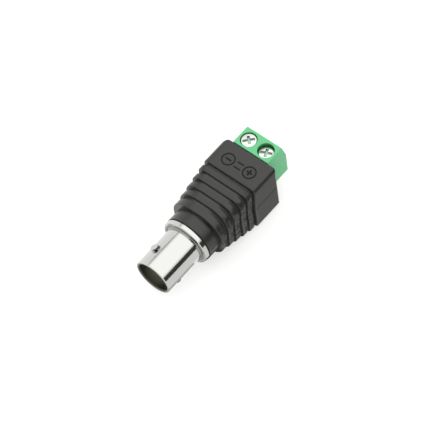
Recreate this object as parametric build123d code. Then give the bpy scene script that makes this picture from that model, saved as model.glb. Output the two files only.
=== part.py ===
from build123d import *
import math
import os

# Adapter from a bayonet coaxial socket to a two-way screw terminal block, in millimetres.
# X points right, Y runs from the socket's mouth towards the terminal block, Z points up.
# The origin is the centre of the mouth, on the socket's axis.

# Socket shell, turned from brass
tube_radius = 4.8
bore_radius = 4.05
contact_seat_radius = 3.85
contact_seat_from_mouth = 3.3
bore_depth = 8.4
tube_length = 11.4
rim_chamfer = 0.15
mouth_chamfer = 0.3
flange_radius = 6.25
flange_thickness = 1.75
flange_chamfer = 0.15
root_fillet = 0.35
barrel_radius = 4.9
barrel_length = 7.85
barrel_flat = 4.4
barrel_flat_length = 1.7
groove_depth = 0.7
groove_width = 1.4
groove_from_flange = 3.85
rear_bore_radius = 3.4
crimp_lip_wall = 0.5
crimp_lip_length = 0.7

# Bayonet lugs, on one diameter
lug_radius = 1.0
lug_tip_radius = 5.5
lug_from_mouth = 4.6
lug_angle = 121.0
lug_chamfer = 0.15
lug_root = 0.3

# Insulator, centre contact and rear bush
insulator_radius = 2.38
insulator_recess = 3.4
insulator_flange_thickness = 3.0
web_thickness = 3.1
contact_radius = 1.05
contact_recess = 0.5
contact_bore_radius = 0.675
contact_bore_depth = 5.6
contact_slot_width = 0.3
contact_slot_depth = 5.0
contact_slots = 2
contact_collar_radius = 1.6
contact_collar_length = 0.8
contact_tail_radius = 0.6
cup_radius = 0.9
cup_bore_radius = 0.55
cup_length = 2.5
cup_bore_depth = 1.8
cup_from_bush = 2.0
bush_recess = 1.0

# Ground tag, a flat ring with a bent tab
tag_thickness = 0.4
tag_outer_radius = 5.3
tag_tab_width = 1.8
tag_tab_length = 3.5

# Moulded housing: neck, five ribs and a plain rear section
neck_radius = 6.3
neck_length = 2.9
rib_count = 5
rib_pitch = 2.3
rib_inside_plain_side = 0.25
rib_inside_plain_top = 0.2
rib_crest = 1.3
rib_depth = 0.45
rib_chamfer = 0.12
groove_rounding = 0.65
rear_rib_top_radius = 1.5
rear_rib_bottom_radius = 1.9
front_rib_top_flat = 1.1
front_rib_bottom_flat = 0.3
upper_draft = 5.0
block_to_housing_side = 2.52
plain_half_height = 7.5
plain_length = 8.28
plain_edge_radius = 1.55
plain_front_chamfer = 0.15
rear_left_radius = 2.3
rear_right_radius = 0.8
rear_top_radius = 0.4
parting_height = 0.5
seam_depth = 0.3
seam_width = 0.2
wall = 1.5
rear_wall = 1.8
solder_room_radius = 5.6
post_radius = 1.0
post_from_rear = 5.7
pin_radius = 0.6
pin_length = 1.2

# Terminal block
pole_pitch = 5.08
block_side_wall = 0.49
block_proud = 0.05
block_bottom = -2.72
block_slope_drop = 4.0
block_slope_run = 1.12
block_length = 6.2
block_edge = 0.15
root_side_step = 0.68
root_room = 0.1
root_bottom = -2.05
root_flange_side = 0.6
root_flange_thickness = 1.4
root_flange_rise = 0.5
well_radius = 2.05
well_from_face = 2.47
window_half_width = 1.75
window_top = 2.0
window_funnel = 0.35

# Contact frame, pressure plate and clamp screw of each pole
frame_half_width = 2.0
frame_before_screw = 2.25
frame_behind_screw = 1.9
frame_strip = 0.6
frame_top_plate = 0.8
frame_top = 3.2
frame_bottom = -1.9
thread_collar_radius = 1.95
thread_collar_depth = 0.5
tail_half_width = 0.8
tail_reach = 6.3
plate_half_width = 1.85
plate_length = 3.0
plate_thickness = 0.5
screw_shank_radius = 1.5
screw_head_radius = 1.85
screw_head_height = 1.3
screw_head_chamfer = 0.15
screw_below_top = 0.15
screw_spigot_radius = 0.8
screw_long_slot = 2.9
screw_short_slot = 2.3
screw_slot_width = 0.55
screw_slot_depth = 0.7
right_screw_drop = 0.8
left_recess_turn = 48.0
right_recess_turn = 24.0

# Inner wires and solder
wire_radius = 0.6
core_radius = 0.3
wire_bare_length = 2.0
solder_radius = 0.85
solder_height = 0.75
solder_crown = 0.35

# Clearances
fit = 0.05
seat = 0.02

# Places that follow from the sizes above
flange_rear = tube_length + flange_thickness
barrel_rear = flange_rear + barrel_length
neck_front = flange_rear + fit
ribs_front = neck_front + neck_length
plain_front = ribs_front + rib_count * rib_pitch
housing_rear = plain_front + plain_length
groove_front = flange_rear + groove_from_flange
insulator_rear = bore_depth + web_thickness + insulator_flange_thickness
bush_rear = barrel_rear - bush_recess
cup_front = bush_rear + cup_from_bush
cup_rear = cup_front + cup_length
block_front = housing_rear + seat
block_rear = block_front + block_length
block_half_width = pole_pitch / 2 + well_radius + block_side_wall
plain_half_width = block_half_width + block_to_housing_side
rib_half_width = plain_half_width - rib_inside_plain_side
rib_half_height = plain_half_height - rib_inside_plain_top
front_rib_top_radius = min(rib_half_width, rib_half_height) - front_rib_top_flat
front_rib_bottom_radius = min(rib_half_width, rib_half_height) - front_rib_bottom_flat
root_half_width = block_half_width - root_side_step
root_flange_half_width = root_half_width + root_flange_side
well_y = block_front + well_from_face
wall_inner = housing_rear - rear_wall
block_top = plain_half_height + block_proud
root_top = plain_half_height - wall - root_flange_rise - root_room
root_front = wall_inner - fit - root_flange_thickness
frame_front = well_y - frame_before_screw
frame_rear = well_y + frame_behind_screw
tail_end = frame_front - tail_reach - seat
floor_top = frame_bottom + frame_strip
screw_head_top = block_top - screw_below_top
screw_head_bottom = screw_head_top - screw_head_height
plate_top = frame_top - frame_top_plate - thread_collar_depth - fit
wire_rest = floor_top + core_radius + seat
poles = {"neg": -pole_pitch / 2, "pos": pole_pitch / 2}
drops = {"neg": 0.0, "pos": right_screw_drop}
recess_turns = {"neg": left_recess_turn, "pos": right_recess_turn}


def turned(*points):
    """A body of revolution about the socket's axis, from (radius, y) points."""
    return revolve(make_face(Polyline(*points, close=True)), Axis.Y)


def disc(radius, start, end, x=0.0, z=0.0):
    """A round bar along Y."""
    across = Plane(origin=(x, start, z), x_dir=(1, 0, 0), z_dir=(0, 1, 0))
    return extrude(across * Circle(radius), end - start)


def block(low, high):
    """A box from its lowest and highest corners."""
    size = [b - a for a, b in zip(low, high)]
    middle = [(a + b) / 2 for a, b in zip(low, high)]
    return Pos(*middle) * Box(*size)


def upright(radius, low, high, x, y):
    """A round bar along Z."""
    return Pos(x, y, low) * Cylinder(radius, high - low, align=(Align.CENTER, Align.CENTER, Align.MIN))


def across_at(y, draft=0.0):
    """The plane across the axis at y; a draft leans it back from the parting line up."""
    lean = math.radians(draft)
    middle = y - parting_height * math.tan(lean)
    return Plane(origin=(0, middle, 0), x_dir=(1, 0, 0), z_dir=(0, -math.cos(lean), math.sin(lean)))


def rounded(half_width, half_height, top_radius, bottom_radius):
    """A rectangle with one corner radius along its top and another along its bottom."""
    corners = Rectangle(2 * half_width, 2 * half_height)
    corners = fillet(corners.vertices().group_by(Axis.Y)[-1], top_radius)
    return fillet(corners.vertices().group_by(Axis.Y)[0], bottom_radius)


# Socket


def lugs():
    """Two round lugs that stand out of the tube, with a flared root and a broken edge."""
    stud = extrude(Circle(lug_radius), lug_tip_radius)
    stud = chamfer(stud.edges().sort_by(Axis.Z)[-1], lug_chamfer)
    flare = Pos(0, 0, tube_radius - lug_root) * Cone(
        lug_radius + lug_root, lug_radius, 2 * lug_root, align=(Align.CENTER, Align.CENTER, Align.MIN)
    )
    hollow = upright(2 * lug_radius, 0, (bore_radius + tube_radius) / 2, 0, 0)
    lug = stud + flare - hollow
    place = Pos(0, lug_from_mouth, 0)
    return [place * Rot(0, 90 - lug_angle + turn, 0) * lug for turn in (0, 180)]


def jack_shell():
    """The one-piece shell: bayonet tube, flange, grooved barrel and crimp lip."""
    web = bore_depth + web_thickness
    outer = [
        (tube_radius - rim_chamfer, 0),
        (tube_radius, rim_chamfer),
        (tube_radius, tube_length),
        (flange_radius - flange_chamfer, tube_length),
        (flange_radius, tube_length + flange_chamfer),
        (flange_radius, flange_rear - flange_chamfer),
        (flange_radius - flange_chamfer, flange_rear),
        (barrel_radius, flange_rear),
        (barrel_radius, groove_front),
        (barrel_radius - groove_depth, groove_front),
        (barrel_radius - groove_depth, groove_front + groove_width),
        (barrel_radius, groove_front + groove_width),
        (barrel_radius, barrel_rear),
        (rear_bore_radius + crimp_lip_wall, barrel_rear),
        (rear_bore_radius + crimp_lip_wall, barrel_rear + crimp_lip_length),
    ]
    inner = [
        (rear_bore_radius, barrel_rear + crimp_lip_length),
        (rear_bore_radius, web),
        (insulator_radius + seat, web),
        (insulator_radius + seat, bore_depth),
        (contact_seat_radius, bore_depth),
        (contact_seat_radius, contact_seat_from_mouth + bore_radius - contact_seat_radius),
        (bore_radius, contact_seat_from_mouth),
        (bore_radius, mouth_chamfer),
        (bore_radius + mouth_chamfer, 0),
    ]
    shell = turned(*outer, *inner)
    root = shell.edges().filter_by(GeomType.CIRCLE).filter_by(
        lambda e: abs(e.radius - tube_radius) < 1e-6 and abs(e.center().Y - tube_length) < 1e-6
    )
    shell = fillet(root, root_fillet)
    flat_from = barrel_rear - barrel_flat_length
    for side in (-1, 1):
        edge = sorted((side * barrel_flat, side * 2 * barrel_radius))
        shell -= block((edge[0], flat_from, -barrel_radius), (edge[1], barrel_rear, barrel_radius))
    for lug in lugs():
        shell += lug
    return shell


def jack_insulator():
    """The dielectric: a sleeve round the contact with a flange that seats behind the web."""
    web = bore_depth + web_thickness
    return turned(
        (contact_radius + fit, insulator_recess),
        (insulator_radius, insulator_recess),
        (insulator_radius, web + seat),
        (rear_bore_radius - seat, web + seat),
        (rear_bore_radius - seat, insulator_rear),
        (contact_radius + fit, insulator_rear),
    )


def jack_contact():
    """The centre contact: slotted socket, collar, tail and a solder cup cut open at its side."""
    front = insulator_recess + contact_recess
    collar_front = insulator_rear + seat
    collar_rear = collar_front + contact_collar_length
    contact = turned(
        (contact_bore_radius + 0.2, front),
        (contact_radius, front),
        (contact_radius, collar_front),
        (contact_collar_radius, collar_front),
        (contact_collar_radius, collar_rear),
        (contact_tail_radius, collar_rear),
        (contact_tail_radius, cup_front),
        (cup_radius, cup_front),
        (cup_radius, cup_rear),
        (cup_bore_radius, cup_rear),
        (cup_bore_radius, cup_rear - cup_bore_depth),
        (0, cup_rear - cup_bore_depth),
        (0, front + contact_bore_depth),
        (contact_bore_radius, front + contact_bore_depth),
        (contact_bore_radius, front + 0.2),
    )
    for number in range(contact_slots):
        slot = Box(2 * contact_collar_radius, contact_slot_depth, contact_slot_width)
        turn = Rot(0, 45 + 180 * number / contact_slots, 0)
        contact -= Pos(0, front + contact_slot_depth / 2, 0) * turn * slot
    opening = block((-cup_radius, cup_rear - cup_bore_depth, 0), (cup_radius, cup_rear, cup_radius))
    return contact - opening


def jack_rear_bush():
    """The bush that holds the contact's collar against the insulator."""
    recess = contact_collar_length + 2 * seat
    return turned(
        (contact_collar_radius + fit, insulator_rear + seat),
        (rear_bore_radius - seat, insulator_rear + seat),
        (rear_bore_radius - seat, bush_rear),
        (contact_tail_radius + fit, bush_rear),
        (contact_tail_radius + fit, insulator_rear + seat + recess),
        (contact_collar_radius + fit, insulator_rear + seat + recess),
    )


def ground_tag():
    """A ring round the crimp lip, with one tab bent back beside the wires."""
    inner = rear_bore_radius + crimp_lip_wall + seat
    start = barrel_rear + seat
    tag = disc(tag_outer_radius, start, start + tag_thickness) - disc(inner, start, start + tag_thickness)
    tab_low = (-tag_outer_radius, start, -tag_tab_width / 2)
    tab_high = (-tag_outer_radius + tag_thickness, start + tag_tab_length, tag_tab_width / 2)
    return tag + block(tab_low, tab_high)


# Housing


def rib_section(step, inset, rounding=0.0):
    """A rib's outline: nearly square at step 1, beside the plain section, and nearly round at the neck."""
    share = (step - 1) / (rib_count - 1)
    extra = rounding * (1 - share) - inset
    top = rear_rib_top_radius + (front_rib_top_radius - rear_rib_top_radius) * share + extra
    bottom = rear_rib_bottom_radius + (front_rib_bottom_radius - rear_rib_bottom_radius) * share + extra
    return rounded(rib_half_width - inset, rib_half_height - inset, top, bottom)


def rib(step, inset, draft):
    """One rib: a steep front face, a flat crest and a ramp down to the root of the next groove."""
    front = plain_front - step * rib_pitch
    outline = across_at(front + rib_crest, draft) * rib_section(step, inset)
    root = across_at(front + rib_pitch, draft) * rib_section(step, inset + rib_depth, groove_rounding)
    if step == rib_count:
        crest = extrude(outline, 2 * rib_crest, dir=(0, -1, 0))
        crest -= Pos(0, front - rib_pitch, 0) * Box(4 * neck_radius, 2 * rib_pitch, 4 * neck_radius)
    else:
        crest = extrude(outline, rib_crest, dir=(0, -1, 0))
    if inset == 0:
        crest = chamfer(crest.faces().sort_by(Axis.Y)[0].edges(), rib_chamfer)
    return crest + loft([outline, root])


def plain_section(inset, draft):
    """The near-square rear section, rounded along its edges and round its rear corners."""
    width, height, rear = plain_half_width - inset, plain_half_height - inset, housing_rear - inset
    radius = plain_edge_radius - inset
    front = across_at(plain_front, draft) * rounded(width, height, radius, radius)
    long = extrude(front, plain_length + rib_pitch, dir=(0, 1, 0))
    if inset == 0:
        long = chamfer(long.faces().sort_by(Axis.Y)[0].edges(), plain_front_chamfer)
    plan = block((-width, ribs_front, -height), (width, rear, height))
    for place, corner in ((0, rear_left_radius), (-1, rear_right_radius)):
        rear_edges = plan.edges().filter_by(Axis.Z).group_by(Axis.Y)[-1]
        plan = fillet(rear_edges.sort_by(Axis.X)[place], corner - inset)
    side = block((-width, ribs_front, -height), (width, rear, height))
    side = fillet(side.edges().filter_by(Axis.X).group_by(Axis.Y)[-1], rear_top_radius)
    return long & plan & side


def housing_outside(inset, draft):
    """The whole outer form of the closed housing, or the same form shrunk by an inset."""
    outside = disc(neck_radius - inset, neck_front + inset, ribs_front + wall)
    for step in range(1, rib_count + 1):
        outside += rib(step, inset, draft)
    return outside + plain_section(inset, draft)


def housing_hollow():
    """What is taken out of the closed housing: the barrel's seat, the solder room and the rear window."""
    seat_front = neck_front - fit
    flat_from = barrel_rear - barrel_flat_length + fit
    key_front, key_rear = groove_front + fit, groove_front + groove_width - fit
    hollow = disc(barrel_radius + fit, seat_front, flat_from)
    hollow -= disc(barrel_radius + fit, key_front, key_rear) - disc(
        barrel_radius - groove_depth + fit, key_front, key_rear
    )
    flat = block(
        (-barrel_flat - fit, flat_from, -barrel_radius - fit),
        (barrel_flat + fit, barrel_rear + seat, barrel_radius + fit),
    )
    hollow += disc(barrel_radius + fit, flat_from, barrel_rear + seat) & flat
    room_front = plain_front + wall / 2
    hollow += disc(solder_room_radius, barrel_rear, room_front)
    hollow += block(
        (wall - plain_half_width, room_front, wall - plain_half_height),
        (plain_half_width - wall, wall_inner, plain_half_height - wall),
    )
    window = root_half_width + fit
    hollow += block((-window, wall_inner, root_bottom - fit), (window, housing_rear + wall, root_top + fit))
    return hollow


def posts():
    """Locating posts inside the housing, one at each side."""
    y = housing_rear - post_from_rear
    x = plain_half_width - wall
    return [(-x, y), (x, y)]


def half_housing(draft, low, high):
    """The closed housing between two heights, hollowed, with its half of the joint line round the outside."""
    reach = 2 * housing_rear
    outside = housing_outside(0.0, draft)
    joint = (-reach, -reach, parting_height - seam_width / 2), (reach, reach, parting_height + seam_width / 2)
    seam = (outside & block(*joint)) - housing_outside(seam_depth, draft)
    return (outside - housing_hollow() - seam) & block((-reach, -reach, low), (reach, reach, high))


def housing_shells():
    """The lower and the upper moulded shell, which meet at the parting height."""
    bottom = half_housing(0.0, -2 * plain_half_height, parting_height)
    top = half_housing(upper_draft, parting_height, 2 * plain_half_height)
    for x, y in posts():
        bottom += upright(post_radius, wall - plain_half_height, parting_height, x, y)
        bottom += upright(pin_radius, parting_height, parting_height + pin_length, x, y)
        top += upright(post_radius, parting_height, plain_half_height - wall, x, y)
        top -= upright(pin_radius + fit, parting_height, parting_height + pin_length + fit, x, y)
    return bottom, top


# Terminal block


def terminal_block():
    """The green body: sloped wire face, screw wells, cages open below, and a root that the housing grips."""
    slope_top = block_rear - block_slope_run
    side = Polyline(
        (block_front, block_bottom),
        (block_rear, block_bottom),
        (block_rear, block_top - block_slope_drop),
        (slope_top, block_top),
        (block_front, block_top),
        close=True,
    )
    body = extrude(Plane.YZ * make_face(side), block_half_width, both=True)
    body = chamfer(body.edges().filter_by(Axis.X).group_by(Axis.Y)[-1], block_edge)
    body += block((-root_half_width, root_front, root_bottom), (root_half_width, block_front, root_top))
    body += block(
        (-root_flange_half_width, root_front, root_bottom - root_flange_rise),
        (root_flange_half_width, root_front + root_flange_thickness, root_top + root_flange_rise),
    )
    for x in poles.values():
        body -= upright(well_radius, frame_top, block_top + 1, x, well_y)
        body -= cage_room(x)
        body -= wire_window(x)
    return body


def cage_room(x):
    """The room for one contact frame, open below, with a channel for the frame's tail."""
    half = frame_half_width + fit
    room = block(
        (x - half, frame_front - fit, block_bottom - 1),
        (x + half, frame_rear + fit, frame_top + seat),
    )
    tail = tail_half_width + fit
    tail_low, tail_high = (x - tail, root_front - 1, block_bottom - 1), (x + tail, frame_front, floor_top + seat)
    return room + block(tail_low, tail_high)


def wire_window(x):
    """One wire entry in the rear face, with its edge sloped in."""
    inner = Rectangle(2 * window_half_width, window_top - floor_top)
    outer = Rectangle(2 * (window_half_width + window_funnel), window_top - floor_top + 2 * window_funnel)
    middle = (window_top + floor_top) / 2
    at = [
        Plane(origin=(x, y, middle), x_dir=(1, 0, 0), z_dir=(0, 1, 0))
        for y in (frame_rear, block_rear - window_funnel, block_rear)
    ]
    through = extrude(at[0] * inner, block_rear - frame_rear)
    return through + loft([at[1] * inner, at[2] * outer])


def clamp_frame(x):
    """A bent strip: tapped top plate, front leg, floor under the wire, and a tail for the solder joint."""
    low, high = x - frame_half_width, x + frame_half_width
    frame = block((low, frame_front, frame_top - frame_top_plate), (high, frame_rear, frame_top))
    frame += block((low, frame_front, frame_bottom), (high, frame_front + frame_strip, frame_top))
    frame += block((low, frame_front, frame_bottom), (high, frame_rear, floor_top))
    tail_low, tail_high = x - tail_half_width, x + tail_half_width
    frame += block((tail_low, tail_end, frame_bottom), (tail_high, frame_front, floor_top))
    bends = frame.edges().filter_by(Axis.X).group_by(Axis.Y)
    outside = [e for group in bends for e in group if abs(e.center().Y - frame_front) < 1e-6]
    frame = fillet([e for e in outside if e.center().Z > frame_top - fit], frame_strip / 2)
    under = frame_top - frame_top_plate - thread_collar_depth
    frame += upright(thread_collar_radius, under, frame_top - frame_top_plate / 2, x, well_y)
    return frame - upright(screw_shank_radius + fit, under, frame_top + 1, x, well_y)


def pressure_plate(x, drop):
    """The plate that the screw carries down onto the wire."""
    top = plate_top - drop
    plate = block(
        (x - plate_half_width, well_y - plate_length / 2, top - plate_thickness),
        (x + plate_half_width, well_y + plate_length / 2, top),
    )
    plate = fillet(plate.edges().filter_by(Axis.Z), plate_thickness / 2)
    return plate - upright(screw_spigot_radius + fit, top - 1, top + 1, x, well_y)


def clamp_screw(x, drop, turn):
    """The clamp screw: cheese head with a cross recess, shank, and a spigot in the plate."""
    head_top, head_bottom = screw_head_top - drop, screw_head_bottom - drop
    tip = plate_top - drop + seat
    screw = upright(screw_head_radius, head_bottom, head_top, x, well_y)
    screw = chamfer(screw.edges().sort_by(Axis.Z)[-1], screw_head_chamfer)
    screw += upright(screw_shank_radius, tip, head_bottom, x, well_y)
    screw += upright(screw_spigot_radius, tip - plate_thickness - seat, tip, x, well_y)
    for length, extra in ((screw_long_slot, 0), (screw_short_slot, 90)):
        slot = Box(length, screw_slot_width, 2 * screw_slot_depth)
        screw -= Pos(x, well_y, head_top) * Rot(0, 0, turn + extra) * slot
    return screw


# Wires and solder


def routed(points, radius, bare):
    """A wire along straight runs joined by tangent arcs, with a bare length at each end."""
    runs = [Vector(*b) - Vector(*a) for a, b in zip(points, points[1:])]
    radii = []
    for first, second in zip(runs, runs[1:]):
        half_turn = math.radians(first.get_angle(second) / 2)
        radii.append(0.45 * min(first.length, second.length) / math.tan(half_turn))
    path = FilletPolyline(*points, radius=radii)
    print("wire", round(path.length, 2), "mm long, bend radii", [round(r, 2) for r in radii])
    whole = sweep((path ^ 0) * Circle(core_radius), path)
    first, last = Vector(*points[0]), Vector(*points[-1])
    middle = trimmed(path, bare)
    return whole + sweep((middle ^ 0) * Circle(radius), middle)


def trimmed(path, bare):
    """The stretch of a path between its two bare ends."""
    share = bare / path.length
    return path.trim(share, 1 - share)


def signal_wire():
    start = (0, cup_rear - cup_bore_depth + seat, 0)
    turn = (0, cup_rear + 1.6, 0)
    end = (poles["pos"], tail_end + 1.8, wire_rest)
    return routed([start, turn, (end[0], tail_end - 1.4, end[2]), end], wire_radius, wire_bare_length)


def ground_wire():
    x = -tag_outer_radius + tag_thickness + core_radius
    tab_end = barrel_rear + seat + tag_tab_length
    start = (x, tab_end - 1.6, 0)
    turn = (x, tab_end + 1.0, 0)
    end = (poles["neg"], tail_end + 1.8, wire_rest)
    return routed([start, turn, (end[0], tail_end - 1.4, end[2]), end], wire_radius, wire_bare_length)


def solder_mound():
    """A mound of solder that stands up from a flat tab."""
    return Cone(solder_radius, solder_crown, solder_height, align=(Align.CENTER, Align.CENTER, Align.MIN))


def solder_on_tail(x, frame, wire):
    """A mound of solder over the bare end, on the frame's tail."""
    mound = Pos(x, tail_end + 1.2, floor_top) * solder_mound()
    return mound - frame - wire


def solder_in_cup(contact, wire):
    """Solder that fills the open cup round the core."""
    front, rear = cup_rear - cup_bore_depth, cup_rear
    fill = disc(cup_bore_radius, front, rear)
    return fill - contact - wire


def solder_on_tab(tag, wire):
    """A mound of solder between the core and the tab."""
    x = -tag_outer_radius + tag_thickness
    y = barrel_rear + seat + tag_tab_length - 1.0
    mound = Pos(x, y, 0) * Rot(0, 90, 0) * solder_mound()
    return mound - tag - wire


def build():
    """Every piece of the adapter, by the name of its node."""
    nodes = {
        "jack_shell": jack_shell(),
        "jack_insulator": jack_insulator(),
        "jack_contact": jack_contact(),
        "jack_rear_bush": jack_rear_bush(),
        "ground_tag": ground_tag(),
        "terminal_block": terminal_block(),
        "signal_wire": signal_wire(),
        "ground_wire": ground_wire(),
    }
    nodes["housing_bottom"], nodes["housing_top"] = housing_shells()
    for pole, x in poles.items():
        nodes["clamp_frame_" + pole] = clamp_frame(x)
        nodes["pressure_plate_" + pole] = pressure_plate(x, drops[pole])
        nodes["clamp_screw_" + pole] = clamp_screw(x, drops[pole], recess_turns[pole])
    for wire, pole in (("signal", "pos"), ("ground", "neg")):
        frame, core = nodes["clamp_frame_" + pole], nodes[wire + "_wire"]
        nodes["solder_" + wire + "_block"] = solder_on_tail(poles[pole], frame, core)
    nodes["solder_signal_jack"] = solder_in_cup(nodes["jack_contact"], nodes["signal_wire"])
    nodes["solder_ground_jack"] = solder_on_tab(nodes["ground_tag"], nodes["ground_wire"])
    return nodes


os.makedirs("parts", exist_ok=True)
for name, shape in build().items():
    shape.label = name
    export_step(shape, os.path.join("parts", name + ".step"))
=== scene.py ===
"""Looks of the adapter from a bayonet coaxial socket to a two-way screw terminal block.

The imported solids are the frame. This add-on paints them, adds the raised polarity signs, the housing's
lip round the neck and the threaded clamp screws, and sets up the studio with the camera.
"""

import math

import bmesh
import bpy
import numpy as np
from bpy.props import FloatProperty, FloatVectorProperty, PointerProperty
from mathutils import Matrix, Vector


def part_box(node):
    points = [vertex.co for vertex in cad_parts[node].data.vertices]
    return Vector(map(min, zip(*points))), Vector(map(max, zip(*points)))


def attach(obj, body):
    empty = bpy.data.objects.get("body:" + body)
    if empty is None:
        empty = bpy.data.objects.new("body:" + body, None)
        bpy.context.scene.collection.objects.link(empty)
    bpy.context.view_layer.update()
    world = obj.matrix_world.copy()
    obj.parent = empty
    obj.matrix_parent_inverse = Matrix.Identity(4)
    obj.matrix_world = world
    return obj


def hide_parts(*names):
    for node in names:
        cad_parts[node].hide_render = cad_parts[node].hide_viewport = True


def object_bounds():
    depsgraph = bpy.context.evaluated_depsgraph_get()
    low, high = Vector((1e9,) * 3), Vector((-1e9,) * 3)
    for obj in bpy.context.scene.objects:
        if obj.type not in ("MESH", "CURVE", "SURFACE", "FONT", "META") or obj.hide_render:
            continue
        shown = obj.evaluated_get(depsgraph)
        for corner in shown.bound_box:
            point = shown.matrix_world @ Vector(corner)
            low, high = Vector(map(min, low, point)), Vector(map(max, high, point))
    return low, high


bl_info = {
    "name": "Screw terminal adapter",
    "version": (1, 0, 0),
    "blender": (4, 5, 0),
    "location": "View3D > Sidebar > Adapter",
    "description": "Finishes, polarity signs, clamp screws and studio for a coaxial screw terminal adapter",
    "category": "Object",
}

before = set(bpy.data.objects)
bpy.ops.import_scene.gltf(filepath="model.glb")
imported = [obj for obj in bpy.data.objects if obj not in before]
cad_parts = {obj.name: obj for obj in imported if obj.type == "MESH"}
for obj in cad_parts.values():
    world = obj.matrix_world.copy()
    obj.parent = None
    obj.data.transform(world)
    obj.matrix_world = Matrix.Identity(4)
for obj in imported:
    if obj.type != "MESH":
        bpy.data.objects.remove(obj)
frame_low, frame_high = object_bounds()

MM = 0.001
POLES = ("neg", "pos")
WHITE, NEAR_BLACK = "#ffffff", "#1a1a1a"

# Places on the solids, measured from the socket's mouth: the grooves behind the ribs with the middle of
# the first, the bayonet lugs with their angle from X, and the middle that the camera looks at
GROOVES = 5
RIB_PITCH = 2.3 * MM
GROOVE_PLACE = 18.55 * MM
LUG_ANGLE = 121
LUG_FROM_MOUTH = 4.6 * MM
MIDDLE = (0, 20 * MM, 0)

# How far each screw's long slot is turned from X, in degrees
SLOT_TURNS = (48, 24)

# Points closer than this are one
SAME_POINT = 0.0005 * MM

# Sockets of a colour mix: its two colours and its result
MIX_FIRST, MIX_SECOND, MIX_RESULT = 6, 7, 2


def linear(hex_colour):
    """Linear RGB of an sRGB hex colour.

    Each channel c from 0 to 1 becomes ((c + 0.055) / 1.055) ** 2.4, or c / 12.92 up to 0.04045.
    """
    channels = np.array([int(hex_colour[i : i + 2], 16) / 255 for i in (1, 3, 5)])
    curved = ((channels + 0.055) / 1.055) ** 2.4
    return tuple(float(c) for c in np.where(channels <= 0.04045, channels / 12.92, curved))


def colour_property(name, hex_colour, description):
    """A colour setting whose default is given as a hex colour."""
    return FloatVectorProperty(
        name=name, description=description, subtype="COLOR", size=3, min=0, max=1, default=linear(hex_colour)
    )


def length_property(name, millimetres, description):
    """A length setting whose default is given in millimetres."""
    return FloatProperty(
        name=name,
        description=description,
        subtype="DISTANCE",
        unit="LENGTH",
        min=0,
        precision=6,
        default=millimetres * MM,
    )


# Settings


class AdapterFinishes(bpy.types.PropertyGroup):
    """Colours of the adapter's materials."""

    housing: colour_property("Housing", "#2a2a27", "Moulded black of the housing")
    # The groove colour is painted light: a greyer black that lightens the shade in the grooves between the
    # ribs
    groove: colour_property("Grooves", "#454541", "Greyer black in the grooves between the ribs")
    # The sign colour is painted shade, for the signs and for the dark ring in front of the neck's lip
    sign: colour_property("Signs", "#1a1a18", "Colour of the raised polarity signs")
    block: colour_property("Terminal block", "#66c487", "Moulded green of the terminal block")
    # The well colour is painted shade inside the screw wells
    well: colour_property("Screw wells", "#1c7a3a", "Deeper green inside the screw wells")
    nickel: colour_property("Nickel", "#d4d4d1", "Plating of the socket shell")
    # The bore and mouth colours are painted shade inside the socket, lighter deeper in to make up for the
    # light that fades there
    deep_bore_shade: colour_property("Bore", "#a2a394", "Painted shade deep inside the socket's bore, lighter than at the mouth")
    mouth: colour_property("Mouth", "#5c5c55", "Painted shade just inside the socket's mouth")
    # The root colour is painted shade in the corner between tube and flange
    root: colour_property("Root", "#9c9c99", "Painted shade in the corner between tube and flange")
    # The joint colour is painted shade beside each pressed-in lug, stronger on one side
    joint: colour_property("Joint", "#3f3f3f", "Painted shade beside each pressed-in lug")
    insulator: colour_property("Insulator", "#f0eee6", "White dielectric of the socket")
    contact: colour_property("Contact", "#f0cf7c", "Gilt centre contact")
    tin: colour_property("Tin plate", "#dcdad2", "Ground tag and contact frames")
    zinc: colour_property("Zinc plate", "#e8eae6", "Clamp screws and pressure plates")
    # The recess colour is painted shade at the bottom of the screw heads' recesses
    recess: colour_property("Screw recess", "#a3b8aa", "Painted shade at the bottom of the recesses in the screw heads")
    signal: colour_property("Signal wire", "#b3201a", "Insulation of the signal wire")
    ground: colour_property("Ground wire", "#2a2a2a", "Insulation of the ground wire")
    solder: colour_property("Solder", "#c9ccce", "Solder joints")


class AdapterSigns(bpy.types.PropertyGroup):
    """Sizes of the polarity signs on the housing's top."""

    spacing: length_property("Spacing", 6.2, "Distance between the two ring centres")
    ring: length_property("Ring radius", 1.55, "Radius of a ring's middle line")
    stroke: length_property("Stroke", 0.32, "Width of the ring's line and of the dashes")
    bar: length_property("Bar length", 1.7, "Length of the minus sign and of the plus sign's arms")
    bar_stroke: length_property("Bar stroke", 0.42, "Width of the minus and plus signs")
    dash: length_property("Dash length", 1.9, "Length of a dash between the rings")
    dash_gap: length_property("Dash gap", 1.5, "Distance between the two dashes")
    rise: length_property("Rise", 0.12, "Height of the signs over the surface")
    from_rear: length_property("From rear", 4.4, "Distance of the signs from the housing's rear face")
    aside: length_property("Aside", 0.17, "Distance of the signs' middle from the middle plane")


class AdapterScrews(bpy.types.PropertyGroup):
    """Sizes of the clamp screws."""

    pitch: length_property("Thread pitch", 0.5, "Rise of the thread in one turn")
    thread_depth: length_property("Thread depth", 0.27, "Depth of the thread's groove")
    head: length_property("Head radius", 1.94, "Radius of the head")
    dome: length_property("Dome", 0.12, "Rise of the head's middle over its edge")
    long_slot: length_property("Long slot", 2.9, "Length of the slot across the head")
    short_slot: length_property("Cross slot", 2.2, "Length of the recess across the slot")
    slot_width: length_property("Slot width", 0.62, "Width of the recesses")
    slot_depth: length_property("Slot depth", 0.6, "Depth of the recesses")


class AdapterStudio(bpy.types.PropertyGroup):
    """Light and floor."""

    sky: FloatProperty(name="Sky", description="Strength of the light all round", min=0, default=0.97)
    softbox: FloatProperty(
        name="Softbox", description="Power of the softbox overhead", subtype="POWER", min=0, default=3.4
    )
    floor: colour_property("Floor", "#c4c4c2", "Colour of the floor")
    floor_glow: FloatProperty(
        name="Floor glow",
        description="Light that the floor adds for the camera and for reflections",
        min=0,
        default=0.55,
    )


# Meshes


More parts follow.
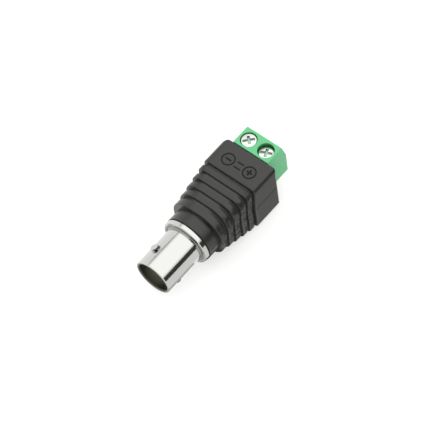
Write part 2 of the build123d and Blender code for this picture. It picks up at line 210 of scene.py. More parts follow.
def add_mesh(name, sheets, material):
    """A new object from sheets of points.

    A sheet is an array (rows, columns, xyz). Each point is joined to the next one along its row, the last
    to the first, and to the same one in the next row, so a sheet is a tube whose ends are closed where a
    row shrinks to a point.
    """
    points, faces, start = [], [], 0
    for sheet in sheets:
        rows, columns = sheet.shape[:2]
        at = start + np.arange(rows * columns).reshape(rows, columns)
        after = np.roll(at, -1, axis=1)
        faces.append(np.stack([at[:-1], after[:-1], after[1:], at[1:]], axis=-1).reshape(-1, 4))
        points.append(sheet.reshape(-1, 3))
        start += rows * columns
    mesh = bpy.data.meshes.new(name)
    mesh.from_pydata(np.concatenate(points).tolist(), [], np.concatenate(faces).tolist())
    work = bmesh.new()
    work.from_mesh(mesh)
    bmesh.ops.remove_doubles(work, verts=work.verts, dist=SAME_POINT)
    bmesh.ops.recalc_face_normals(work, faces=work.faces)
    work.to_mesh(mesh)
    work.free()
    mesh.shade_smooth()
    mesh.materials.append(material)
    piece = bpy.data.objects.new(name, mesh)
    bpy.context.scene.collection.objects.link(piece)
    return piece


def paint(node_name, material):
    """Gives a node of the frame its material."""
    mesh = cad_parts[node_name].data
    mesh.materials.clear()
    mesh.materials.append(material)


def squared_up(angle):
    """Cosine and sine of an angle with their size raised to the power 0.6, which squares a circle up."""
    return [np.sign(part) * np.abs(part) ** 0.6 for part in (np.cos(angle), np.sin(angle))]


def ring_ridge(centre, radius, stroke, rise):
    """A raised ring: a circle of the given radius about a vertical axis that carries a flat-topped oval.

    With u round the ring and v round the oval, the distance from the axis is radius + stroke / 2 * C(v)
    and the height is rise * S(v), where C and S are the cosine and sine raised to the power 0.6.
    """
    rows, columns = 25, 96
    across, height = squared_up(np.linspace(0, 2 * np.pi, rows)[:, None])
    turn = np.linspace(0, 2 * np.pi, columns, endpoint=False)[None, :]
    reach = radius + stroke / 2 * across
    sheet = np.stack([reach * np.cos(turn), reach * np.sin(turn), height * rise + 0 * turn], axis=-1)
    return sheet + np.array(centre)


def bar_ridge(centre, length, stroke, rise, along=0.0):
    """A raised bar with round ends, turned by an angle about the vertical.

    With u round its outline and v from the underside over the edge to the top, a point lies at the near
    end of the bar's middle line plus stroke / 2 * C(v) in the direction u, at the height rise * S(v), where
    C and S are the cosine and sine raised to the power 0.6.
    """
    rows, columns = 17, 32
    over, height = squared_up(np.linspace(-np.pi / 2, np.pi / 2, rows)[:, None])
    turn = (np.arange(columns) + 0.5)[None, :] * 2 * np.pi / columns
    end = np.sign(np.cos(turn)) * (length - stroke) / 2
    x = end + stroke / 2 * over * np.cos(turn)
    y = stroke / 2 * over * np.sin(turn)
    turned_x = x * math.cos(along) - y * math.sin(along)
    turned_y = x * math.sin(along) + y * math.cos(along)
    return np.stack([turned_x, turned_y, height * rise + 0 * turn], axis=-1) + np.array(centre)


def round_band(front, rear, inner, outer):
    """A ring round the Y axis: the rectangle front to rear, inner to outer, with its outer edges rounded.

    Each column is that outline turned about the axis by its angle, so a point is at
    (radius * sin(u), y, radius * cos(u)).
    """
    edge, columns = 0.02 * MM, 144
    outline = [(inner, front), (outer - edge, front), (outer, front + edge), (outer, rear - edge)]
    outline += [(outer - edge, rear), (inner, rear), (inner, front)]
    radii, along = np.array(outline).T[:, :, None]
    turn = np.linspace(0, 2 * np.pi, columns, endpoint=False)[None, :]
    return np.stack([radii * np.sin(turn), along + 0 * turn, radii * np.cos(turn)], axis=-1)


def smooth_step(value, start, end):
    """0 before start, 1 after end, and 3 t^2 - 2 t^3 of the way t between them."""
    way = np.clip((value - start) / (end - start), 0, 1)
    return way * way * (3 - 2 * way)


def screw_sheet(box, sizes, turn):
    """A clamp screw as one closed sheet, from the middle of its head down to the middle of its tip.

    The head's top is a disc whose height falls with the square of the distance from its middle and by the
    depth of the recess inside either of two crossing slots. Below it, each row is a circle, and along the
    shank its radius falls by half the thread depth times 1 - cos(2 pi z / pitch - u), a right-hand thread.
    """
    low, high = np.array(box[0]), np.array(box[1])
    axis, top, tip = (low + high) / 2, high[2], low[2]
    head, shank, spigot = sizes.head, 1.47 * MM, 0.8 * MM
    edge, soft = 0.22 * MM, 0.05 * MM
    head_height, spigot_length, run_in = 1.3 * MM, 0.52 * MM, 0.05 * MM
    head_under, shank_end = top - head_height, tip + spigot_length
    columns, head_rings, edge_rings, rings_per_turn = 192, 56, 6, 12
    round_turn = np.linspace(0, 2 * np.pi, columns, endpoint=False)[None, :]

    reach = np.linspace(0, 1, head_rings)[:, None] * (head - edge)
    x, y = reach * np.cos(round_turn), reach * np.sin(round_turn)
    along = x * math.cos(turn) + y * math.sin(turn)
    across = -x * math.sin(turn) + y * math.cos(turn)

    def slot(length, way, side):
        inside = smooth_step(length / 2 - np.abs(way), -soft, soft)
        return inside * smooth_step(sizes.slot_width / 2 - np.abs(side), -soft, soft)

    recess = np.maximum(slot(sizes.long_slot, along, across), slot(sizes.short_slot, across, along))
    fall = sizes.dome * (reach / head) ** 2 + 0 * round_turn
    disc = np.stack([x, y, top - fall - sizes.slot_depth * recess], axis=-1)

    corner = np.linspace(0, np.pi / 2, edge_rings + 1)[1:]
    rim = top - sizes.dome
    head_rows = [(head - edge + edge * math.sin(a), rim - edge + edge * math.cos(a)) for a in corner]
    head_rows += [(head, head_under), (shank, head_under)]
    depth = np.arange(head_under - run_in, shank_end, -sizes.pitch / rings_per_turn)
    fade = smooth_step(head_under - depth, 0, sizes.pitch) * smooth_step(depth - shank_end, 0, sizes.pitch)
    phase = 2 * np.pi * depth[:, None] / sizes.pitch - round_turn
    thread = shank - sizes.thread_depth * fade[:, None] * (1 - np.cos(phase)) / 2
    tail_rows = [(shank, shank_end), (spigot, shank_end), (spigot, tip), (0, tip)]

    sheet = [disc]
    for radii, heights in (
        np.array(head_rows).T[:, :, None],
        (thread, depth[:, None]),
        np.array(tail_rows).T[:, :, None],
    ):
        rings = [radii * np.cos(round_turn), radii * np.sin(round_turn), heights + 0 * round_turn]
        sheet.append(np.stack(rings, axis=-1))
    return np.concatenate(sheet) + np.array([axis[0], axis[1], 0])


# Materials


def add_node(tree, kind, links=None, values=None, **settings):
    """Adds a shader node, sets it up and links its inputs, and returns it."""
    node = tree.nodes.new(kind)
    for name, value in settings.items():
        setattr(node, name, value)
    for name, value in (values or {}).items():
        node.inputs[name].default_value = value
    for name, source in (links or {}).items():
        tree.links.new(source, node.inputs[name])
    return node


def new_material(name):
    """A new material with its tree and its shader, which is already linked to the output."""
    material = bpy.data.materials.new(name)
    material.use_nodes = True
    tree = material.node_tree
    return material, tree, tree.nodes["Principled BSDF"]


def settle(shader, colour, metallic, roughness, ior=None, specular=None):
    """Sets the plain values of a shader."""
    shader.inputs["Base Color"].default_value = (*colour, 1)
    shader.inputs["Metallic"].default_value = metallic
    shader.inputs["Roughness"].default_value = roughness
    if ior is not None:
        shader.inputs["IOR"].default_value = ior
    if specular is not None:
        shader.inputs["Specular IOR Level"].default_value = specular


def roughen(tree, shader, grain, depth, strength):
    """Fine unevenness of a surface, as a bump node: noise of the given grain over Object coordinates.

    Most of the real textures have grains of 0.02 to 0.1 mm, which are too fine to show in the render, so
    they are drawn as coarse as they need to show.
    """
    place = add_node(tree, "ShaderNodeTexCoord").outputs["Object"]
    noise = add_node(tree, "ShaderNodeTexNoise", {"Vector": place}, {"Scale": 1 / grain, "Detail": 2.0})
    relief = {"Strength": strength, "Distance": depth}
    bump = add_node(tree, "ShaderNodeBump", {"Height": noise.outputs["Fac"]}, relief)
    tree.links.new(bump.outputs["Normal"], shader.inputs["Normal"])
    return bump


def moulded_abs(colour, groove_painted_light):
    """Black ABS from a spark-eroded mould: near black, with a soft sheen that shows pale walls as grey.

    The grooves between the ribs are painted greyer, as painted light that lightens the shade in them: the
    colour changes where the distance along Y from the nearest groove, the wave of the ribs' pitch, is small.
    The ribs' right flanks are uneven, with shallow ripples 1 to 2 mm wide that are duller where they are
    high.
    """
    material, tree, shader = new_material("moulded black ABS")
    settle(shader, colour, metallic=0, roughness=0.28, ior=1.54)
    fine = roughen(tree, shader, grain=0.25 * MM, depth=0.01 * MM, strength=0.35)
    place = add_node(tree, "ShaderNodeTexCoord").outputs["Object"]
    parts = add_node(tree, "ShaderNodeSeparateXYZ", {"Vector": place})
    x, y = parts.outputs["X"], parts.outputs["Y"]

    # The groove's mask for the painted light: 1 in its middle, and only from the first groove to the last
    half = RIB_PITCH / 2
    shifted = add_node(tree, "ShaderNodeMath", {0: y}, {1: -GROOVE_PLACE}, operation="ADD")
    ends = {1: half, 2: -half}
    wrapped = add_node(tree, "ShaderNodeMath", {0: shifted.outputs[0]}, ends, operation="WRAP")
    gap = add_node(tree, "ShaderNodeMath", {0: wrapped.outputs[0]}, operation="ABSOLUTE")
    ends = {"From Min": 0.1 * MM, "From Max": 0.5 * MM, "To Min": 1.0, "To Max": 0.0}
    groove_light_mask = add_node(tree, "ShaderNodeMapRange", {"Value": gap.outputs[0]}, ends).outputs["Result"]
    for side, limit in (
        ("LESS_THAN", GROOVE_PLACE + (GROOVES - 0.5) * RIB_PITCH),
        ("GREATER_THAN", GROOVE_PLACE - half),
    ):
        within = add_node(tree, "ShaderNodeMath", {0: y}, {1: limit}, operation=side).outputs[0]
        groove_light_mask = add_node(tree, "ShaderNodeMath", {0: groove_light_mask, 1: within}, operation="MULTIPLY").outputs[0]
    colours = {MIX_FIRST: (*colour, 1), MIX_SECOND: (*groove_painted_light, 1)}
    mix = add_node(tree, "ShaderNodeMix", {"Factor": groove_light_mask}, colours, data_type="RGBA")
    tree.links.new(mix.outputs[MIX_RESULT], shader.inputs["Base Color"])

    # The ripples fade in towards the right flank, and end with the first and the last rib
    flow = {"Scale": 1 / (1.4 * MM), "Detail": 1.0, "Distortion": 0.8}
    ripple = add_node(tree, "ShaderNodeTexNoise", {"Vector": place}, flow).outputs["Fac"]
    for source, start, end, low, high in (
        (x, 3.2 * MM, 6.2 * MM, 0.0, 1.0),
        (y, 15.8 * MM, 16.6 * MM, 0.0, 1.0),
        (y, 26.8 * MM, 27.5 * MM, 1.0, 0.0),
    ):
        ends = {"From Min": start, "From Max": end, "To Min": low, "To Max": high}
        fade = add_node(tree, "ShaderNodeMapRange", {"Value": source}, ends).outputs["Result"]
        ripple = add_node(tree, "ShaderNodeMath", {0: ripple, 1: fade}, operation="MULTIPLY").outputs[0]
    relief = {"Strength": 1.0, "Distance": 0.19 * MM}
    uneven = add_node(tree, "ShaderNodeBump", {"Height": ripple, "Normal": fine.outputs["Normal"]}, relief)
    tree.links.new(uneven.outputs["Normal"], shader.inputs["Normal"])
    ends = {"From Min": 0.46, "From Max": 0.6, "To Min": 0.5, "To Max": 0.14}
    sheen = add_node(tree, "ShaderNodeMapRange", {"Value": ripple}, ends).outputs["Result"]
    tree.links.new(sheen, shader.inputs["Specular IOR Level"])
    return material


def dark_painted_shade_abs(colour):
    """The same ABS, duller and darker: its darker colour is painted shade, so the signs read darker than the
    wall.
    """
    material, tree, shader = new_material("black ABS with painted shade")
    settle(shader, colour, metallic=0, roughness=0.6, ior=1.54, specular=0.2)
    roughen(tree, shader, grain=0.15 * MM, depth=0.01 * MM, strength=0.3)
    return material


def moulded_polyamide(colour, well_shade_colour, wells, top):
    """Green polyamide, moulded: an even semi-gloss with a slight milkiness.

    The walls of the screw wells carry painted shade that grows with depth: the colour there is a deeper
    green, inside a circle round each well's axis and below the block's top.
    """
    material, tree, shader = new_material("moulded green polyamide")
    settle(shader, colour, metallic=0, roughness=0.38, ior=1.53)
    roughen(tree, shader, grain=0.4 * MM, depth=0.01 * MM, strength=0.25)
    place = add_node(tree, "ShaderNodeTexCoord").outputs["Object"]
    flat = add_node(tree, "ShaderNodeVectorMath", {0: place}, {1: (1, 1, 0)}, operation="MULTIPLY")
    parts = add_node(tree, "ShaderNodeSeparateXYZ", {"Vector": place})

    circles = []
    for x, y, radius in wells:
        links, centre = {0: flat.outputs["Vector"]}, {1: (x, y, 0)}
        gap = add_node(tree, "ShaderNodeVectorMath", links, centre, operation="DISTANCE").outputs["Value"]
        near = add_node(tree, "ShaderNodeMath", {0: gap}, {1: radius}, operation="LESS_THAN")
        circles.append(near.outputs[0])
    inside = add_node(tree, "ShaderNodeMath", dict(enumerate(circles)), operation="MAXIMUM").outputs[0]
    ends = {"From Min": top - 0.35 * MM, "From Max": top - 0.02 * MM, "To Min": 1.0, "To Max": 0.0}
    deep = add_node(tree, "ShaderNodeMapRange", {"Value": parts.outputs["Z"]}, ends).outputs["Result"]
    shaded = add_node(tree, "ShaderNodeMath", {0: inside, 1: deep}, operation="MULTIPLY").outputs[0]
    colours = {MIX_FIRST: (*colour, 1), MIX_SECOND: (*well_shade_colour, 1)}
    mix = add_node(tree, "ShaderNodeMix", {"Factor": shaded}, colours, data_type="RGBA")
    tree.links.new(mix.outputs[MIX_RESULT], shader.inputs["Base Color"])
    return material


def nickel_plate(finishes):
    """Bright nickel over turned brass: a mirror drawn out along the axis by the tool's fine rings.

    Inside the bore the plating is rougher, and its colour is painted shade: darkest at the mouth, and
    lighter deeper in, against the light that fades inside. Beside each pressed-in lug, stronger on one side,
    is a dark patch of painted shade, and the corner between tube and flange is painted greyer, as shade.
    """
    material, tree, shader = new_material("bright nickel plate on turned brass")
    settle(shader, finishes.nickel, metallic=1, roughness=0.12)
    place = add_node(tree, "ShaderNodeTexCoord").outputs["Object"]
    parts = add_node(tree, "ShaderNodeSeparateXYZ", {"Vector": place})
    y = parts.outputs["Y"]
    side = add_node(tree, "ShaderNodeCombineXYZ", {"X": parts.outputs["X"], "Y": parts.outputs["Z"]})
    radial = add_node(tree, "ShaderNodeVectorMath", {0: side.outputs["Vector"]}, operation="LENGTH")
    reach = radial.outputs["Value"]

    # Distances from the lugs' axis, which lies across the tube's axis at the lugs' angle from X, for the
    # painted shade beside the lugs
    angle = math.radians(LUG_ANGLE)
    centre, sideways = {1: (0, LUG_FROM_MOUTH, 0)}, {1: (math.sin(angle), 0, -math.cos(angle))}
    shifted = add_node(tree, "ShaderNodeVectorMath", {0: place}, centre, operation="SUBTRACT")
    from_lug = shifted.outputs["Vector"]
    turned = add_node(tree, "ShaderNodeVectorMath", {0: from_lug}, sideways, operation="DOT_PRODUCT")
    across = turned.outputs["Value"]
    along = add_node(tree, "ShaderNodeSeparateXYZ", {"Vector": from_lug}).outputs["Y"]
    flat = add_node(tree, "ShaderNodeCombineXYZ", {"X": across, "Y": along})
    distance = add_node(tree, "ShaderNodeVectorMath", {0: flat.outputs["Vector"]}, operation="LENGTH")
    gap = distance.outputs["Value"]

    # Each mask goes from its first to its second value between two distances
    masks = {}
    for name, source, start, end, low, high in (
        ("in the bore", reach, 4.28 * MM, 4.4 * MM, 1.0, 0.0),
        ("past the mouth", y, 0.3 * MM, 3.0 * MM, 0.0, 1.0),
        ("outside the lug", gap, 0.82 * MM, 0.98 * MM, 0.0, 1.0),
        ("close to the lug", gap, 1.1 * MM, 1.4 * MM, 1.0, 0.0),
        ("right of the lug", across, 0.1 * MM, 0.8 * MM, 0.1, 0.9),
        ("close to the flange", y, 10.7 * MM, 11.05 * MM, 0.0, 1.0),
        ("close to the tube", reach, 5.2 * MM, 5.6 * MM, 1.0, 0.0),
    ):
        ends = {"From Min": start, "From Max": end, "To Min": low, "To Max": high}
        masks[name] = add_node(tree, "ShaderNodeMapRange", {"Value": source}, ends).outputs["Result"]
    for name, first, second in (
        ("round the lug", "outside the lug", "close to the lug"),
        ("in the lug's painted shade", "round the lug", "right of the lug"),
        ("in the corner", "close to the flange", "close to the tube"),
    ):
        links = {0: masks[first], 1: masks[second]}
        masks[name] = add_node(tree, "ShaderNodeMath", links, operation="MULTIPLY").outputs[0]

    # Each layer shows its second colour where its mask is 1, and the layer or colour before it elsewhere
    layers = {}
    for name, mask, first, second in (
        # Painted shade in the bore, darkest at the mouth
        ("bore", "past the mouth", finishes.mouth, finishes.deep_bore_shade),
        # Painted shade in the corner between tube and flange
        ("shell", "in the corner", finishes.nickel, finishes.root),
        # Painted shade beside the lugs, stronger on one side
        ("shell with lug shade", "in the lug's painted shade", "shell", finishes.joint),
        ("whole", "in the bore", "shell with lug shade", "bore"),
    ):
        links, colours = {"Factor": masks[mask]}, {}
        for socket, source in ((MIX_FIRST, first), (MIX_SECOND, second)):
            if isinstance(source, str):
                links[socket] = layers[source]
            else:
                colours[socket] = (*source, 1)
        mix = add_node(tree, "ShaderNodeMix", links, colours, data_type="RGBA")
        layers[name] = mix.outputs[MIX_RESULT]
    tree.links.new(layers["whole"], shader.inputs["Base Color"])
    dulled = {"To Min": 0.12, "To Max": 0.42}
    roughness = add_node(tree, "ShaderNodeMapRange", {"Value": masks["in the bore"]}, dulled)
    tree.links.new(roughness.outputs["Result"], shader.inputs["Roughness"])

    # Turning marks, as rings round the Y axis: the tool's real feed of about 0.05 mm is too fine to show in
    # the render, so they are drawn 0.12 mm apart
    marks = {"Scale": 1 / (0.12 * MM), "Detail": 2.0}
    rings = add_node(tree, "ShaderNodeTexNoise", {"W": y}, marks, noise_dimensions="1D")
    relief = {"Strength": 0.12, "Distance": 0.004 * MM}
    bump = add_node(tree, "ShaderNodeBump", {"Height": rings.outputs["Fac"]}, relief)
    tree.links.new(bump.outputs["Normal"], shader.inputs["Normal"])
    return material


def turned_ptfe(colour):
    """White dielectric, turned: waxy, with a broad weak highlight."""
    material, tree, shader = new_material("white PTFE")
    settle(shader, colour, metallic=0, roughness=0.45, ior=1.38)
    roughen(tree, shader, grain=0.3 * MM, depth=0.008 * MM, strength=0.3)
    return material


def gilt_bronze(colour):
    """Gold plate on bronze: warm and bright."""
    material, tree, shader = new_material("gold plate on bronze")
    settle(shader, colour, metallic=1, roughness=0.2)
    roughen(tree, shader, grain=0.2 * MM, depth=0.004 * MM, strength=0.2)
    return material


def tin_plate(colour):
    """Tin plate on brass strip: pale and silky from the rolling."""
    material, tree, shader = new_material("tin plate on brass strip")
    settle(shader, colour, metallic=1, roughness=0.32)
    roughen(tree, shader, grain=0.25 * MM, depth=0.006 * MM, strength=0.3)
    return material


def zinc_plate(colour, recess=None, top=0.0):
    """Bright zinc plate on steel: silvery, a little uneven from the barrel plating.

    Where a screw's top is given, the bottom of the recesses in its head is painted darker, as painted shade.
    """
    material, tree, shader = new_material("bright zinc plate on steel")
    settle(shader, colour, metallic=1, roughness=0.22)
    roughen(tree, shader, grain=0.35 * MM, depth=0.01 * MM, strength=0.4)
    if recess is None:
        return material
    place = add_node(tree, "ShaderNodeTexCoord").outputs["Object"]
    parts = add_node(tree, "ShaderNodeSeparateXYZ", {"Vector": place})
    # Painted shade: darker below the head's top, in the bottom of the recesses
    ends = {"From Min": top - 0.45 * MM, "From Max": top - 0.25 * MM, "To Min": 1.0, "To Max": 0.0}
    deep = add_node(tree, "ShaderNodeMapRange", {"Value": parts.outputs["Z"]}, ends).outputs["Result"]
    colours = {MIX_FIRST: (*colour, 1), MIX_SECOND: (*recess, 1)}
    mix = add_node(tree, "ShaderNodeMix", {"Factor": deep}, colours, data_type="RGBA")
    tree.links.new(mix.outputs[MIX_RESULT], shader.inputs["Base Color"])
    return material


def extruded_pvc(name, colour):
    """PVC wire insulation: smooth, soft gloss."""
    material, tree, shader = new_material(name)
    settle(shader, colour, metallic=0, roughness=0.4, ior=1.53)
    roughen(tree, shader, grain=0.5 * MM, depth=0.01 * MM, strength=0.2)
    return material


def solder_metal(colour):
    """Solder that froze with a bright skin: metallic with shallow ripples."""
    material, tree, shader = new_material("solder")
    settle(shader, colour, metallic=1, roughness=0.24)
    roughen(tree, shader, grain=0.45 * MM, depth=0.02 * MM, strength=0.4)
    return material


def floor_paper(colour, glow):
    """Matt white paper, which adds a little light of its own for the camera and in reflections."""
    material, tree, shader = new_material("matt white paper")
    settle(shader, colour, metallic=0, roughness=0.9, specular=0.1)
    path = add_node(tree, "ShaderNodeLightPath")
    seen = path.outputs["Is Camera Ray"]
    for other in ("Is Glossy Ray", "Is Transmission Ray"):
        links = {0: seen, 1: path.outputs[other]}
        seen = add_node(tree, "ShaderNodeMath", links, operation="MAXIMUM").outputs[0]
    strength = add_node(tree, "ShaderNodeMath", {0: seen}, {1: glow}, operation="MULTIPLY")
    shader.inputs["Emission Color"].default_value = (*linear(WHITE), 1)
    tree.links.new(strength.outputs[0], shader.inputs["Emission Strength"])
    return material


# Operators


class ADAPTER_OT_socket(bpy.types.Operator):
    """Finish the socket: nickelled shell, white insulator and bush, gilt contact, tinned ground tag"""

    bl_idname = "adapter.socket"
    bl_label = "Socket"

    def execute(self, context):
        finishes = context.scene.adapter_finishes
        white = turned_ptfe(finishes.insulator)
        paint("jack_shell", nickel_plate(finishes))
        paint("jack_insulator", white)
        paint("jack_rear_bush", white)
        paint("jack_contact", gilt_bronze(finishes.contact))
        paint("ground_tag", tin_plate(finishes.tin))
        return {"FINISHED"}


class ADAPTER_OT_housing(bpy.types.Operator):
    """Finish the two black housing shells and add their lip and, in front of it, a dark ring of painted
    shade over the flange's rear edge
    """

    bl_idname = "adapter.housing"
    bl_label = "Housing"

    def execute(self, context):
        finishes = context.scene.adapter_finishes
        black = moulded_abs(finishes.housing, finishes.groove)
        paint("housing_top", black)
        paint("housing_bottom", black)
        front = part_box("housing_top")[0][1]
        seal, lip, overlap, inner = front - 0.74 * MM, front - 0.42 * MM, 0.02 * MM, 6.255 * MM
        # The front ring is painted shade: a dark band in the gap between flange and neck
        for name, start, end, outer, material in (
            ("neck_painted_shadow_ring", seal, lip, 6.29 * MM, dark_painted_shade_abs(finishes.sign)),
            ("neck_lip", lip, front + overlap, 6.31 * MM, black),
        ):
            piece = add_mesh(name, [round_band(start, end, inner, outer)], material)
            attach(piece, "adapter")
        return {"FINISHED"}


class ADAPTER_OT_signs(bpy.types.Operator):
    """Raise the polarity signs on the housing's top: a ringed minus, a ringed plus and two dashes between"""

    bl_idname = "adapter.signs"
    bl_label = "Polarity signs"

    def execute(self, context):
        sizes = context.scene.adapter_signs
        # The signs are raised, and their darker colour is painted shade
        black = dark_painted_shade_abs(context.scene.adapter_finishes.sign)
        rear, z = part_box("housing_top")[1][1:]
        y = rear - sizes.from_rear
        left, right = (sizes.aside - sizes.spacing / 2, y, z), (sizes.aside + sizes.spacing / 2, y, z)
        bar = (sizes.bar, sizes.bar_stroke, sizes.rise)
        minus = [ring_ridge(left, sizes.ring, sizes.stroke, sizes.rise), bar_ridge(left, *bar)]
        plus = [ring_ridge(right, sizes.ring, sizes.stroke, sizes.rise)]
        plus += [bar_ridge(right, *bar, along=turn) for turn in (0, math.pi / 2)]
        dashes = []
        for side in (-1, 1):
            middle = (sizes.aside, y + side * sizes.dash_gap / 2, z)
            dashes.append(bar_ridge(middle, sizes.dash, sizes.stroke, sizes.rise))
        for name, sheets in (("sign_minus", minus), ("sign_plus", plus), ("sign_dashes", dashes)):
            piece = add_mesh(name, sheets, black)
            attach(piece, "adapter")
        return {"FINISHED"}


class ADAPTER_OT_terminal_block(bpy.types.Operator):
    """Finish the green block with its contact frames and pressure plates"""

    bl_idname = "adapter.terminal_block"
    bl_label = "Terminal block"

    def execute(self, context):
        finishes = context.scene.adapter_finishes
        tin, zinc = tin_plate(finishes.tin), zinc_plate(finishes.zinc)
        wells, well_reach = [], 2.1 * MM
        for pole in POLES:
            low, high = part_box("clamp_screw_" + pole)
            wells.append(((low[0] + high[0]) / 2, (low[1] + high[1]) / 2, well_reach))
        green = moulded_polyamide(finishes.block, finishes.well, wells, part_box("terminal_block")[1][2])
        paint("terminal_block", green)
        for pole in POLES:
            paint("clamp_frame_" + pole, tin)
            paint("pressure_plate_" + pole, zinc)
        return {"FINISHED"}


class ADAPTER_OT_screws(bpy.types.Operator):
    """Make the two clamp screws with their threads and cross-slotted heads"""

    bl_idname = "adapter.screws"
    bl_label = "Clamp screws"

    def execute(self, context):
        sizes = context.scene.adapter_screws
        finishes = context.scene.adapter_finishes
        for pole, degrees in zip(POLES, SLOT_TURNS):
            node = "clamp_screw_" + pole
            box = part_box(node)
            zinc = zinc_plate(finishes.zinc, finishes.recess, box[1][2])
            paint(node, zinc)
            sheet = screw_sheet(box, sizes, math.radians(degrees))
            piece = add_mesh("threaded_screw_" + pole, [sheet], zinc)
            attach(piece, "screw_" + pole)
            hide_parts(node)
        return {"FINISHED"}


class ADAPTER_OT_wiring(bpy.types.Operator):
    """Finish the two wires and the solder joints inside the housing"""

    bl_idname = "adapter.wiring"
    bl_label = "Wires and solder"

    def execute(self, context):
        finishes = context.scene.adapter_finishes
        solder = solder_metal(finishes.solder)
        paint("signal_wire", extruded_pvc("red PVC", finishes.signal))
        paint("ground_wire", extruded_pvc("black PVC", finishes.ground))
        for joint in ("signal_jack", "ground_jack", "signal_block", "ground_block"):
            paint("solder_" + joint, solder)
        return {"FINISHED"}


def add_camera():
    """A long lens 0.5 m from the adapter's middle, turned and tilted as the picture's camera was.

    The focal length and the picture's optical centre are in pixels of a square picture.
    """
    azimuth, elevation, roll = np.radians([49.078, 57.794, -10.77])
    aim, distance = np.array(MIDDLE), 0.5
    picture_size, focal_pixels, centre_x, centre_y = 428, 2184.07, 209.311, 217.218
    back = np.array(
        [
            math.sin(azimuth) * math.cos(elevation),
            -math.cos(azimuth) * math.cos(elevation),
            math.sin(elevation),
        ]
    )
    level = np.array([math.cos(azimuth), math.sin(azimuth), 0])
    upward = -np.cross(level, back)
    right = level * math.cos(roll) + upward * math.sin(roll)
    up = -level * math.sin(roll) + upward * math.cos(roll)
    place = np.eye(4)
    place[:3] = np.column_stack([right, up, back, aim + back * distance])
    lens = bpy.data.cameras.new("camera")
    camera = bpy.data.objects.new("camera", lens)
    camera.matrix_world = Matrix(place.tolist())
    lens.sensor_width = 36
    lens.lens = focal_pixels / picture_size * lens.sensor_width
    lens.shift_x = (picture_size / 2 - centre_x) / picture_size
    lens.shift_y = (centre_y - picture_size / 2) / picture_size
    lens.clip_start, lens.clip_end = 0.02, 10
    bpy.context.scene.collection.objects.link(camera)
    bpy.context.scene.camera = camera


def facing(place, target):
    """A matrix at a place whose -Z axis points at a target that isn't straight above or below it."""
    back = np.array(place, float) - np.array(target)
    back /= np.linalg.norm(back)
    side = np.cross([0, 0, 1], back)
    side /= np.linalg.norm(side)
    matrix = np.eye(4)
    matrix[:3] = np.column_stack([side, np.cross(back, side), back, place])
    return Matrix(matrix.tolist())


def add_panel(name, width, height, matrix, material):
    """A flat rectangle in its own XY plane, which is put in place by a matrix."""
    x, y = width / 2, height / 2
    mesh = bpy.data.meshes.new(name)
    mesh.from_pydata([(-x, -y, 0), (x, -y, 0), (x, y, 0), (-x, y, 0)], [], [(0, 1, 2, 3)])
    mesh.materials.append(material)
    panel = bpy.data.objects.new(name, mesh)
    panel.matrix_world = matrix
    bpy.context.scene.collection.objects.link(panel)
    return panel


def add_card(name, matrix, width, height, tone):
    """A flat card that glows with an even tone and shows in reflections only, where it paints a reflection:
    0 is black, and 1 is white.
    """
    material, _, shader = new_material("card " + name)
    settle(shader, linear(NEAR_BLACK), metallic=0, roughness=0.9, specular=0.0)
    shader.inputs["Emission Color"].default_value = (*linear(WHITE), 1)
    shader.inputs["Emission Strength"].default_value = tone
    card = add_panel(name, width, height, matrix, material)
    card.visible_camera = card.visible_shadow = card.visible_diffuse = False


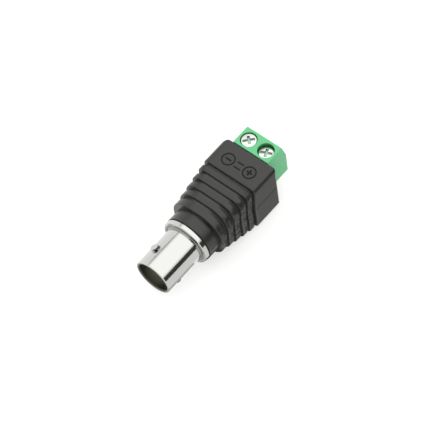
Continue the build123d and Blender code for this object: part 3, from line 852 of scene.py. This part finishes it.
class ADAPTER_OT_stage(bpy.types.Operator):
    """Set up the paper floor, the cards that the plating reflects, the softbox, the sky and the camera"""

    bl_idname = "adapter.stage"
    bl_label = "Studio"

    def execute(self, context):
        studio = context.scene.adapter_studio
        floor_z, floor_size = frame_low[2], 4
        ground = Matrix.Translation((0, 0, floor_z))
        add_panel("floor", floor_size, floor_size, ground, floor_paper(studio.floor, studio.floor_glow))

        # These dark cards paint the dark stripes and edges that the plating reflects
        # Upright cards: the middle's X and Y, the way that the back faces, size, lift over the floor, tone
        for name, x, y, way, width, height, lift, tone in (
            ("far_card", 0.0905, 0.0634, (1, 0.39, 0), 0.15, 0.0475, 0, 0.035),
            ("near_card", 0.066, 0.062, (1, 0.2, 0), 0.036, 0.058, 0, 0),
            ("softbox_edge", -0.335, 0.18, (-1, 0.2, 0), 0.5, 0.026, 0.328, 0),
        ):
            place = np.array([x, y, floor_z + lift + height / 2])
            add_card(name, facing(place, place - np.array(way)), width, height, tone)
        dark_side, tube_middle = (0.21, -0.145, 0.165), (0.004, 0.011, 0.005)
        add_card("camera_side", facing(dark_side, tube_middle), 0.36, 0.3, 0)

        # The sheets paint the floor as the plating reflects it, and the shade cards paint the floor's shadow
        # under and beside the adapter, in reflections only
        # Cards on the floor: their edges in X and Y, their rise, which keeps them apart, and their tone
        for name, west, east, south, north, rise, tone in (
            ("sheet_left", -0.3, 0.008, -0.2, 0.3, 0.00005, 1.02),
            ("sheet_right", 0.008, 0.14, -0.12, 0.2, 0.0001, 0.85),
            ("shade_tube", -0.01, 0.008, -0.008, 0.0112, 0.0002, 0.5),
            ("shade_housing", 0.0077, 0.02, 0.019, 0.044, 0.0002, 0.5),
            ("shade_under", -0.007, 0.0076, 0.0135, 0.036, 0.0003, 0.1),
        ):
            centre = ((west + east) / 2, (south + north) / 2, floor_z + rise)
            add_card(name, Matrix.Translation(centre), east - west, north - south, tone)

        light = bpy.data.lights.new("softbox", "AREA")
        light.shape = "SQUARE"
        light.size = 1.6
        light.energy = studio.softbox
        softbox = bpy.data.objects.new("softbox", light)
        softbox.matrix_world = facing((0.22, 0.25, 0.88), MIDDLE)
        context.scene.collection.objects.link(softbox)

        world = bpy.data.worlds.new("white studio")
        context.scene.world = world
        world.use_nodes = True
        background = world.node_tree.nodes["Background"]
        background.inputs["Color"].default_value = (*linear(WHITE), 1)
        background.inputs["Strength"].default_value = studio.sky

        context.scene.view_settings.view_transform = "Standard"
        add_camera()
        return {"FINISHED"}


OPERATORS = (
    ADAPTER_OT_socket,
    ADAPTER_OT_housing,
    ADAPTER_OT_signs,
    ADAPTER_OT_terminal_block,
    ADAPTER_OT_screws,
    ADAPTER_OT_wiring,
    ADAPTER_OT_stage,
)
SETTINGS = {
    "adapter_finishes": AdapterFinishes,
    "adapter_signs": AdapterSigns,
    "adapter_screws": AdapterScrews,
    "adapter_studio": AdapterStudio,
}


class ADAPTER_PT_panel(bpy.types.Panel):
    """Settings and steps of the adapter"""

    bl_label = "Screw terminal adapter"
    bl_idname = "ADAPTER_PT_panel"
    bl_space_type = "VIEW_3D"
    bl_region_type = "UI"
    bl_category = "Adapter"

    def draw(self, context):
        for group in SETTINGS:
            settings = getattr(context.scene, group)
            column = self.layout.column()
            for setting in settings.bl_rna.properties.keys():
                if setting not in ("rna_type", "name"):
                    column.prop(settings, setting)
        for operator in OPERATORS:
            self.layout.operator(operator.bl_idname)


def register():
    for kind in (*SETTINGS.values(), *OPERATORS, ADAPTER_PT_panel):
        bpy.utils.register_class(kind)
    for name, kind in SETTINGS.items():
        setattr(bpy.types.Scene, name, PointerProperty(type=kind))


def unregister():
    for name in SETTINGS:
        delattr(bpy.types.Scene, name)
    for kind in reversed((*SETTINGS.values(), *OPERATORS, ADAPTER_PT_panel)):
        bpy.utils.unregister_class(kind)


def main():
    register()
    for operator in OPERATORS:
        group, step = operator.bl_idname.split(".")
        getattr(getattr(bpy.ops, group), step)()


if __name__ == "__main__":
    main()
